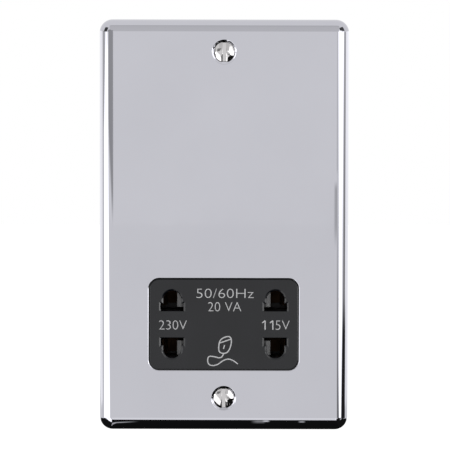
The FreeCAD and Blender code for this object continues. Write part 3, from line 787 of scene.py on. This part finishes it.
def slotted(name, bm, saw, edge):
    """Saws a driver slot across a turned head and breaks the sharp edges."""
    blank = add_piece(name + "_blank", bm)
    blade = add_piece(name + "_saw", saw)
    cut = blank.modifiers.new("slot", "BOOLEAN")
    cut.object = blade
    cut.operation = "DIFFERENCE"
    cut.solver = "EXACT"
    broken = blank.modifiers.new("broken_edges", "BEVEL")
    broken.width = edge
    broken.segments = 2
    broken.limit_method = "ANGLE"
    broken.angle_limit = math.radians(broken_angle)
    bpy.context.view_layer.update()
    mesh = bpy.data.meshes.new_from_object(blank.evaluated_get(bpy.context.evaluated_depsgraph_get()))
    bpy.data.objects.remove(blank)
    bpy.data.objects.remove(blade)
    made = bmesh.new()
    made.from_mesh(mesh)
    bpy.data.meshes.remove(mesh)
    return made


clamp = bmesh.new()
head_r = 2.6 * mm
clamp_r = 1.5 * mm
top_y = 33.5 * mm
seat_y = 31.5 * mm
point_y = 24.8 * mm
clamp_sides = 40
clamp_pitch = 0.56 * mm
clamp_head = [(0, top_y), (head_r, top_y), (head_r, seat_y)]
clamp_shank = [(clamp_r, seat_y), (clamp_r, point_y), (0, point_y)]
turn_profile(clamp, clamp_head + clamp_shank, clamp_sides)
clamp_saw = bmesh.new()
saw_place = Matrix.Translation((0, top_y - 0.2 * mm, 0))
saw_size = Matrix.Diagonal((6 * mm, 1.4 * mm, 0.8 * mm, 1))
bmesh.ops.create_cube(clamp_saw, size=1, matrix=saw_place @ saw_size)
clamp = slotted("clamp", clamp, clamp_saw, edge=0.12 * mm)
thread(clamp, clamp_r, point_y, seat_y, clamp_pitch)
clamps = bmesh.new()
add_copies(clamps, clamp, [(x, 0, terminal_z) for x in (-terminal_x, 0, terminal_x)])
settle(add_piece("clamp_screws", clamps), "socket", zinc, "zinc_steel", "terminal_screws")


# Leads
# Stranded copper leads in coloured plastic, soldered at both ends: live and neutral up to the
# transformer, and the two voltages and their common down to the contact tails.

lead_r = 0.75 * mm


def lead(name, node, slot, tone, other_tone, points):
    """Round insulated lead on a smooth line through the given control points, in millimetres."""
    curve = bpy.data.curves.new(name, "CURVE")
    curve.dimensions = "3D"
    curve.bevel_depth = lead_r
    curve.bevel_resolution = 5
    curve.use_fill_caps = True
    curve.resolution_u = 10
    line = curve.splines.new("NURBS")
    line.points.add(len(points) - 1)
    for point, place in zip(line.points, points):
        point.co = (*(Vector(place) * mm), 1)
    line.order_u = 3
    line.use_endpoint_u = True
    piece = bpy.data.objects.new(name, curve)
    bpy.context.scene.collection.objects.link(piece)
    plastic = finish(slot, tone, other_tone, (0.3, 0.42), patch=300.0, grain=2500.0)
    settle(piece, "socket", plastic, slot, node)


lead(
    "live_wire", "lead_live", "lead_brown", (0.13, 0.05, 0.02), (0.11, 0.04, 0.016),
    [(-14, 27, -4.8), (-14, 39, -4.8), (-14, 39, 0), (-14, 39, 12.3)],
)
lead(
    "neutral_wire", "lead_neutral", "lead_blue", (0.02, 0.09, 0.36), (0.015, 0.075, 0.3),
    [(14, 27, -4.8), (14, 35.5, -4.8), (14, 35.5, 0), (14, 35.5, 4.9)],
)
lead(
    "wire_230", "lead_230", "lead_red", (0.42, 0.02, 0.016), (0.36, 0.016, 0.013),
    [
        (-22.7, 32.5, 36.4), (-31, 32.5, 36.4), (-31, 31.5, 30),
        (-31, 20, -21), (-31, 19, -25.8), (-18.25, 19, -25.8),
    ],
)
lead(
    "wire_115", "lead_115", "lead_yellow", (0.70, 0.50, 0.03), (0.64, 0.45, 0.024),
    [
        (22.7, 34, 36.4), (31, 34, 36.4), (31, 32.8, 30),
        (31, 20, -21), (31, 19, -25.8), (18.25, 19, -25.8),
    ],
)
lead(
    "common_wire", "lead_common", "lead_black", (0.02, 0.02, 0.022), (0.028, 0.028, 0.03),
    [
        (-22.7, 35.5, 36.4), (-31, 35.5, 36.4), (-31, 34.6, 30),
        (-31, 20, -38), (-31, 19, -43.2), (-18.25, 19, -43.2),
    ],
)


# Fixing screws
# Two plated steel screws with raised countersunk heads and a plain slot, driven through the dimples
# into the lugs of the wall box. The driver has worn the slots' lips, most at their lower ends.

fix_low, fix_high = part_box("fixing_screws")
crown_y = fix_low.y
tip_y = fix_high.y
screw_head_r = 3.45 * mm
dome = 0.9 * mm
dome_r = (screw_head_r ** 2 + dome ** 2) / (2 * dome)
reach_turn = math.degrees(math.asin(screw_head_r / dome_r))
core_r = 1.5 * mm
tip_r = 1.0 * mm
neck_y = crown_y + dome + screw_head_r - core_r
dome_cuts = 14
fixing_sides = 72
fixing_pitch = 0.6 * mm
fixing = bmesh.new()
dome_steps = list(quarter((0, crown_y + dome_r), dome_r, 0, reach_turn, dome_cuts))
shank_steps = [(core_r, neck_y), (core_r, tip_y - 0.5 * mm), (tip_r, tip_y), (0, tip_y)]
turn_profile(fixing, dome_steps + shank_steps, fixing_sides)
slot_half = 0.6 * mm
slot_floor = crown_y + 1.1 * mm
slot_lip = 0.45 * mm
lip_slope = 0.34
lip_break = 0.1
least_wear = 0.2
wear_start = 0.1
wear_run = 2 * mm
slot_cuts = 40
saw_reach = 4
saw_clear = 0.01 * mm
saw_top = crown_y - 1 * mm
lip_foot = 0.06 * mm
fixing_saw = bmesh.new()
saw_loops = []
for cut in range(slot_cuts + 1):
    z = (2 * saw_reach * cut / slot_cuts - saw_reach) * mm
    off_axis = min(z ** 2, screw_head_r ** 2) + (slot_half + slot_lip) ** 2
    dome_y = crown_y + dome_r - math.sqrt(dome_r ** 2 - off_axis)
    wear = min(max(wear_start - z / wear_run, least_wear), 1.0) * slot_lip
    lip_drop = lip_slope * wear
    lip = [(0, lip_drop + lip_foot), (lip_break * wear, lip_drop), (wear, saw_clear)]
    side = [(slot_half, slot_floor)]
    side += [(slot_half + out, min(dome_y + drop, slot_floor - saw_clear)) for out, drop in lip]
    side.append((slot_half + wear, saw_top))
    around = side + [(-x, y) for x, y in reversed(side)]
    corners = [fixing_saw.verts.new((x, y, z)) for x, y in around]
    saw_loops.append([fixing_saw.edges.new(pair) for pair in zip(corners, corners[1:] + corners[:1])])
for near, far in zip(saw_loops, saw_loops[1:]):
    bmesh.ops.bridge_loops(fixing_saw, edges=near + far)
for end in (saw_loops[0], saw_loops[-1]):
    bmesh.ops.contextual_create(fixing_saw, geom=end)
bmesh.ops.recalc_face_normals(fixing_saw, faces=fixing_saw.faces)
fixing = slotted("fixing", fixing, fixing_saw, edge=0.09 * mm)
thread(fixing, core_r, neck_y + 0.3 * mm, tip_y - 0.4 * mm, fixing_pitch)
fixings = bmesh.new()
add_copies(fixings, fixing, [(0, 0, -fixing_z), (0, 0, fixing_z)])
screw_chrome = finish(
    "polished_screw",
    (0.60, 0.585, 0.59),
    (0.56, 0.55, 0.555),
    (0.04, 0.09),
    metallic=1.0,
    patch=220.0,
    grain=1800.0,
    bump=0.01,
)
fixing_piece = add_piece("fixing_screws_slotted", fixings, 16)
even_shading(fixing_piece, "even_slot")
settle(fixing_piece, "socket", screw_chrome, "polished_screw", "fixing_screws")


# Floor and cards
# Pale floor below the part, and the cards of a small tent that a polished plate mirrors: black below
# with a few small glints, grey above, soft white boxes at the sides with dark strips between them, and
# white behind.

floor_white = 0.97
floor_lit = 0.55
floor_half = 6
floor_z = -0.26


def sheet_of(name, corners):
    """Flat sheet of the stage through four corners, with its own width and height as coordinates."""
    bm = bmesh.new()
    bm.loops.layers.uv.new("sheet")
    bmesh.ops.create_grid(bm, x_segments=1, y_segments=1, size=0.5, calc_uvs=True)
    for vert in bm.verts:
        across = vert.co.x + 0.5
        foot = Vector(corners[0]).lerp(Vector(corners[1]), across)
        head = Vector(corners[3]).lerp(Vector(corners[2]), across)
        vert.co = foot.lerp(head, vert.co.y + 0.5)
    made = add_piece(name, bm)
    return made


floor_corners = [(x * floor_half, y * floor_half, floor_z) for x, y in ((-1, -1), (1, -1), (1, 1), (-1, 1))]
floor = sheet_of("floor", floor_corners)
floor_paint = bpy.data.materials.new("floor_paint")
floor_paint.use_nodes = True
floor_tree = floor_paint.node_tree
floor_shader = floor_tree.nodes["Principled BSDF"]
floor_shader.inputs["Base Color"].default_value = (0.86, 0.86, 0.86, 1)
floor_shader.inputs["Roughness"].default_value = 0.9
floor_shader.inputs["Specular IOR Level"].default_value = 0.1
floor_shader.inputs["Emission Color"].default_value = (1, 1, 1, 1)
floor_path = floor_tree.nodes.new("ShaderNodeLightPath")
floor_lift = floor_tree.nodes.new("ShaderNodeMapRange")
floor_lift.inputs["To Max"].default_value = floor_lit
floor_tree.links.new(floor_path.outputs["Is Camera Ray"], floor_lift.inputs["Value"])
floor_tree.links.new(floor_lift.outputs["Result"], floor_shader.inputs["Emission Strength"])
floor_glow = floor_tree.nodes.new("ShaderNodeEmission")
floor_glow.inputs["Strength"].default_value = floor_white
floor_mix = floor_tree.nodes.new("ShaderNodeMixShader")
floor_tree.links.new(floor_path.outputs["Is Glossy Ray"], floor_mix.inputs["Fac"])
floor_tree.links.new(floor_shader.outputs["BSDF"], floor_mix.inputs[1])
floor_tree.links.new(floor_glow.outputs["Emission"], floor_mix.inputs[2])
floor_tree.links.new(floor_mix.outputs["Shader"], floor_tree.nodes["Material Output"].inputs["Surface"])
floor.data.materials.append(floor_paint)

fading, entry, leave = node_group(
    "card_fading",
    [
        ("Left", "NodeSocketFloat", 0.1),
        ("Right", "NodeSocketFloat", 0.1),
        ("Foot", "NodeSocketFloat", 0.1),
        ("Head", "NodeSocketFloat", 0.1),
    ],
    [("Mask", "NodeSocketFloat"), ("Rise", "NodeSocketFloat")],
)
spot = fading.nodes.new("ShaderNodeSeparateXYZ")
fading.links.new(fading.nodes.new("ShaderNodeUVMap").outputs["UV"], spot.inputs["Vector"])
mask = None
for axis, near, far in (("X", "Left", "Right"), ("Y", "Foot", "Head")):
    rest = fading.nodes.new("ShaderNodeMath")
    rest.operation = "SUBTRACT"
    rest.inputs[0].default_value = 1.0
    fading.links.new(spot.outputs[axis], rest.inputs[1])
    for share, side in ((spot.outputs[axis], near), (rest.outputs["Value"], far)):
        fade = fading.nodes.new("ShaderNodeMapRange")
        fade.interpolation_type = "SMOOTHSTEP"
        fading.links.new(share, fade.inputs["Value"])
        fading.links.new(entry.outputs[side], fade.inputs["From Max"])
        both = fading.nodes.new("ShaderNodeMath")
        both.operation = "MULTIPLY"
        both.inputs[0].default_value = 1.0
        if mask:
            fading.links.new(mask, both.inputs[0])
        fading.links.new(fade.outputs["Result"], both.inputs[1])
        mask = both.outputs["Value"]
fading.links.new(mask, leave.inputs["Mask"])
fading.links.new(spot.outputs["Y"], leave.inputs["Rise"])


def card(name, levels, corners, soft=(0.02, 0.02, 0.02, 0.02)):
    """Card that only mirrors show, from one level at its foot to another at its head, with faded sides."""
    made = sheet_of(name, corners)
    paint = bpy.data.materials.new(name)
    paint.use_nodes = True
    tree = paint.node_tree
    fade = tree.nodes.new("ShaderNodeGroup")
    fade.node_tree = fading
    for socket, share in zip(fade.inputs, soft):
        socket.default_value = share
    level = spread_in(tree, fade.outputs["Rise"], levels[0], levels[1], (0.0, 1.0))
    glow = tree.nodes.new("ShaderNodeEmission")
    tree.links.new(level, glow.inputs["Strength"])
    clear_side = tree.nodes.new("ShaderNodeBsdfTransparent")
    blended = tree.nodes.new("ShaderNodeMixShader")
    tree.links.new(fade.outputs["Mask"], blended.inputs["Fac"])
    tree.links.new(clear_side.outputs["BSDF"], blended.inputs[1])
    tree.links.new(glow.outputs["Emission"], blended.inputs[2])
    tree.links.new(blended.outputs["Shader"], tree.nodes["Material Output"].inputs["Surface"])
    made.data.materials.append(paint)
    made.visible_camera = False
    made.visible_diffuse = False
    made.visible_shadow = False
    made.visible_transmission = False


card(
    "light_bar_below",
    (1.2, 1.2),
    [(-0.10, -0.80, -0.2), (0.55, -0.80, -0.2), (0.17, -0.46, -0.2), (-0.10, -0.46, -0.2)],
    (0.05, 0.05, 0.1, 0.01),
)
card(
    "black_card_below",
    (0.01, 0.005),
    [(-0.075, -0.46, -0.2), (0.1, -0.46, -0.2), (0.1, 0.4, -0.2), (-0.075, 0.4, -0.2)],
)
card(
    "light_step_below",
    (1.1, 1.2),
    [(-0.08, -0.47, -0.197), (0.075, -0.47, -0.197), (0.075, -0.24, -0.197), (-0.065, -0.27, -0.197)],
    (0.05, 0.05, 0.02, 0.02),
)
card(
    "black_card_right",
    (0.01, 0.01),
    [(0.17, -0.46, -0.205), (0.62, -0.86, -0.205), (0.80, -0.50, -0.205), (0.05, -0.07, -0.205)],
)
card(
    "light_bar_right",
    (1.6, 1.6),
    [(0.075, -0.47, -0.199), (0.19, -0.47, -0.199), (0.105, -0.27, -0.199), (0.075, -0.22, -0.199)],
    (0.1, 0.1, 0.02, 0.1),
)
card(
    "black_strip_below",
    (0.01, 0.01),
    [(-0.6, -0.2, -0.203), (0.6, -0.2, -0.203), (0.6, 0.4, -0.203), (-0.6, 0.4, -0.203)],
)
card(
    "soft_box_low_left",
    (2.0, 2.0),
    [(-0.56, -0.32, -0.198), (-0.43, -0.87, -0.198), (-0.07, -0.30, -0.198), (-0.046, -0.10, -0.198)],
    (0.08, 0.08, 0.02, 0.05),
)
card(
    "grey_card_above",
    (0.80, 0.76),
    [(-0.35, -0.65, 0.135), (0.35, -0.65, 0.135), (0.35, -0.36, 0.62), (-0.35, -0.36, 0.62)],
    (0.1, 0.1, 0.1, 0.02),
)
card(
    "dark_bar_above",
    (0.68, 0.68),
    [(-0.35, -0.37, 0.6), (0.35, -0.37, 0.6), (0.35, -0.28, 0.68), (-0.35, -0.28, 0.68)],
    (0.1, 0.1, 0.1, 0.4),
)
card(
    "dark_corner_left",
    (0.05, 0.10),
    [
        (-0.0727, -0.0089, 0.0695),
        (-0.062, -0.0265, 0.0695),
        (-0.056, -0.0265, 0.0907),
        (-0.067, -0.0089, 0.0907),
    ],
    (0.1, 0.2, 0.05, 0.2),
)
card(
    "dark_corner_right",
    (0.09, 0.14),
    [(0.0455, -0.0175, 0.0712), (0.069, -0.0092, 0.0712), (0.064, -0.009, 0.0907), (0.0455, -0.0165, 0.079)],
    (0.1, 0.1, 0.05, 0.2),
)
card(
    "grey_card_left",
    (0.44, 0.46),
    [(-0.0626, -0.036, 0.028), (-0.0402, -0.036, -0.004), (-0.0402, -0.036, 0.078), (-0.0626, -0.036, 0.078)],
    (0.1, 0.01, 0.2, 0.02),
)
card(
    "grey_card_right",
    (0.64, 0.60),
    [(0.0398, -0.036, -0.011), (0.0475, -0.036, -0.009), (0.0475, -0.036, 0.0155), (0.0398, -0.036, 0.0155)],
    (0.1, 0.1, 0.4, 0.15),
)
card(
    "dark_card_left",
    (0.26, 0.30),
    [(-0.43, -0.43, 0.10), (-0.28, -0.53, 0.11), (-0.15, -0.57, 0.31), (-0.40, -0.43, 0.28)],
    (0.15, 0.15, 0.1, 0.1),
)
card(
    "soft_box_left",
    (2.0, 2.0),
    [(-0.98, -0.10, -0.24), (-0.33, -0.90, -0.24), (-0.60, -0.76, 0.04), (-0.98, -0.11, 0.04)],
    (0.05, 0.06, 0.02, 0.02),
)
card(
    "soft_box_left_head",
    (2.0, 2.0),
    [(-0.98, -0.11, 0.03), (-0.60, -0.76, 0.03), (-0.70, -0.68, 0.13), (-0.88, -0.45, 0.13)],
    (0.05, 0.06, 0.02, 0.02),
)
card(
    "soft_box_left_core",
    (8.0, 8.0),
    [(-0.80, -0.46, -0.24), (-0.52, -0.74, -0.24), (-0.66, -0.62, 0.11), (-0.76, -0.50, 0.11)],
    (0.5, 0.5, 0.05, 0.1),
)
card(
    "line_right",
    (0.65, 1.04),
    [(0.17, -0.94, 0.0), (0.35, -0.90, 0.0), (0.19, -0.93, 0.3), (0.07, -0.95, 0.3)],
    (0.2, 0.2, 0.02, 0.02),
)
card(
    "line_right_foot",
    (0.05, 0.95),
    [(0.40, -0.90, -0.25), (0.70, -0.71, -0.25), (0.38, -0.90, 0.01), (0.18, -0.94, 0.01)],
    (0.15, 0.15, 0.02, 0.02),
)
card(
    "soft_box_right",
    (2.0, 2.0),
    [(0.68, -0.72, -0.21), (0.88, -0.50, -0.21), (1.0, -0.27, 0.2), (0.22, -0.96, 0.2)],
    (0.06, 0.02, 0.02, 0.02),
)
card(
    "soft_box_right_head",
    (2.0, 2.0),
    [(0.36, -0.92, 0.18), (0.76, -0.60, 0.18), (0.70, -0.55, 0.62), (0.34, -0.84, 0.62)],
    (0.15, 0.15, 0.02, 0.15),
)
card(
    "soft_box_right_core",
    (8.0, 8.0),
    [(0.50, -0.76, -0.2), (0.78, -0.50, -0.2), (0.78, -0.50, 0.15), (0.50, -0.76, 0.15)],
    (0.5, 0.5, 0.3, 0.1),
)
card(
    "soft_box_high_left",
    (2.0, 2.0),
    [(-0.97, -0.15, 0.14), (-0.88, -0.44, 0.14), (-0.80, -0.40, 0.75), (-0.85, -0.15, 0.75)],
    (0.1, 0.1, 0.05, 0.1),
)
card(
    "soft_box_high_right",
    (2.0, 2.0),
    [(0.90, -0.42, 0.20), (0.97, -0.15, 0.20), (0.85, -0.15, 0.75), (0.80, -0.40, 0.75)],
    (0.1, 0.1, 0.05, 0.1),
)
card(
    "strip_left",
    (0.85, 0.55),
    [(-1, 0.19, -0.3), (-1, -0.08, -0.3), (-1, -0.44, 0.25), (-1, 0.19, 0.25)],
    (0.1, 0.1, 0.02, 0.02),
)
card(
    "strip_right",
    (0.0, 0.75),
    [(0.99, -0.26, -0.23), (0.99, 0.10, -0.23), (0.99, 0.10, 0.2), (0.99, -0.26, 0.2)],
    (0.05, 0.05, 0.01, 0.02),
)
card(
    "dark_low_right",
    (0.02, 0.02),
    [(0.66, -0.62, -0.27), (0.97, 0.25, -0.27), (0.97, 0.25, -0.09), (0.93, -0.28, -0.09)],
    (0.08, 0.05, 0.02, 0.2),
)
card(
    "back_card_left",
    (1.38, 1.38),
    [(-0.5, 1.2, -0.19), (-1.0, 0.12, -0.19), (-1.0, 0.12, 0.2), (-0.5, 1.2, 0.2)],
)
card(
    "back_card_right",
    (1.2, 1.55),
    [(1.0, 0.10, -0.19), (0.5, 1.2, -0.19), (0.5, 1.2, 0.2), (1.0, 0.10, 0.2)],
)
card(
    "glint_below",
    (0.8, 1.0),
    [
        (0.0140, -0.0317, -0.0992),
        (0.0173, -0.0318, -0.0991),
        (0.0173, -0.0405, -0.0882),
        (0.0140, -0.0404, -0.0883),
    ],
    (0.4, 0.4, 0.5, 0.1),
)
card(
    "glint_below_tail",
    (0.0, 0.45),
    [
        (0.0098, -0.0243, -0.1103),
        (0.0157, -0.0245, -0.1101),
        (0.0157, -0.0444, -0.0915),
        (0.0098, -0.0442, -0.0917),
    ],
    (0.5, 0.2, 0.2, 0.1),
)
card(
    "glint_below_right",
    (0.6, 0.32),
    [
        (0.0273, -0.0293, -0.1012),
        (0.0304, -0.0294, -0.1011),
        (0.0304, -0.0397, -0.0895),
        (0.0273, -0.0396, -0.0897),
    ],
    (0.4, 0.4, 0.3, 0.2),
)
card(
    "line_corner_left",
    (0.55, 0.6),
    [
        (-0.0459, -0.0060, -0.1096),
        (-0.0420, -0.0009, -0.1101),
        (-0.0395, -0.0251, -0.1041),
        (-0.0398, -0.0316, -0.0992),
    ],
    (0.1, 0.1, 0.1, 0.02),
)
card(
    "line_below_left",
    (0.5, 0.5),
    [
        (-0.0399, -0.0250, -0.1041),
        (-0.0309, -0.0311, -0.0994),
        (-0.0309, -0.0387, -0.0925),
        (-0.0399, -0.0316, -0.0992),
    ],
    (0.02, 0.9, 0.1, 0.1),
)


# Light and camera
# Even white surroundings with one broad soft lamp above the camera, and a long lens square on to the
# plate from a little above its middle.

world = bpy.data.worlds.new("white_room")
bpy.context.scene.world = world
world.use_nodes = True
room = world.node_tree
background = room.nodes["Background"]
background.inputs["Color"].default_value = (1, 1, 1, 1)
path = room.nodes.new("ShaderNodeLightPath")
seen = room.nodes.new("ShaderNodeMath")
seen.operation = "MAXIMUM"
room.links.new(path.outputs["Is Camera Ray"], seen.inputs[0])
room.links.new(path.outputs["Is Glossy Ray"], seen.inputs[1])
clear = room.nodes.new("ShaderNodeMath")
clear.operation = "MAXIMUM"
room.links.new(seen.outputs["Value"], clear.inputs[0])
room.links.new(path.outputs["Is Transmission Ray"], clear.inputs[1])
strength = room.nodes.new("ShaderNodeMapRange")
strength.inputs["To Min"].default_value = 0.6
strength.inputs["To Max"].default_value = 1.0
room.links.new(clear.outputs["Value"], strength.inputs["Value"])
room.links.new(strength.outputs["Result"], background.inputs["Strength"])

lamp = bpy.data.lights.new("soft_box", "AREA")
lamp.shape = "RECTANGLE"
lamp.size = 0.9
lamp.size_y = 0.6
lamp.energy = 7.0
lamp_place = bpy.data.objects.new("soft_box", lamp)
lamp_place.location = (-0.35, -0.95, 0.75)
lamp_place.rotation_euler = (-lamp_place.location).to_track_quat("-Z", "Y").to_euler()
lamp_place.visible_glossy = False
bpy.context.scene.collection.objects.link(lamp_place)

camera = bpy.data.cameras.new("camera")
camera.lens = 161
camera.sensor_width = 36
camera.clip_start = 0.01
camera.clip_end = 50
picture_px = 450
camera.shift_x = 1 / picture_px
camera.shift_y = 0.7 / picture_px
camera_place = bpy.data.objects.new("camera", camera)
rise = math.radians(2.5)
camera_roll = math.radians(0.12)
distance = 0.70
target = Vector((0, front, 0))
camera_place.location = target + Vector((0, -math.cos(rise), math.sin(rise))) * distance
look = (target - camera_place.location).to_track_quat("-Z", "Y").to_matrix()
camera_place.rotation_euler = (look @ Matrix.Rotation(camera_roll, 3, "Z")).to_euler()
bpy.context.scene.collection.objects.link(camera_place)
bpy.context.scene.camera = camera_place

bpy.context.scene.view_settings.view_transform = "Standard"

bpy.context.view_layer.update()
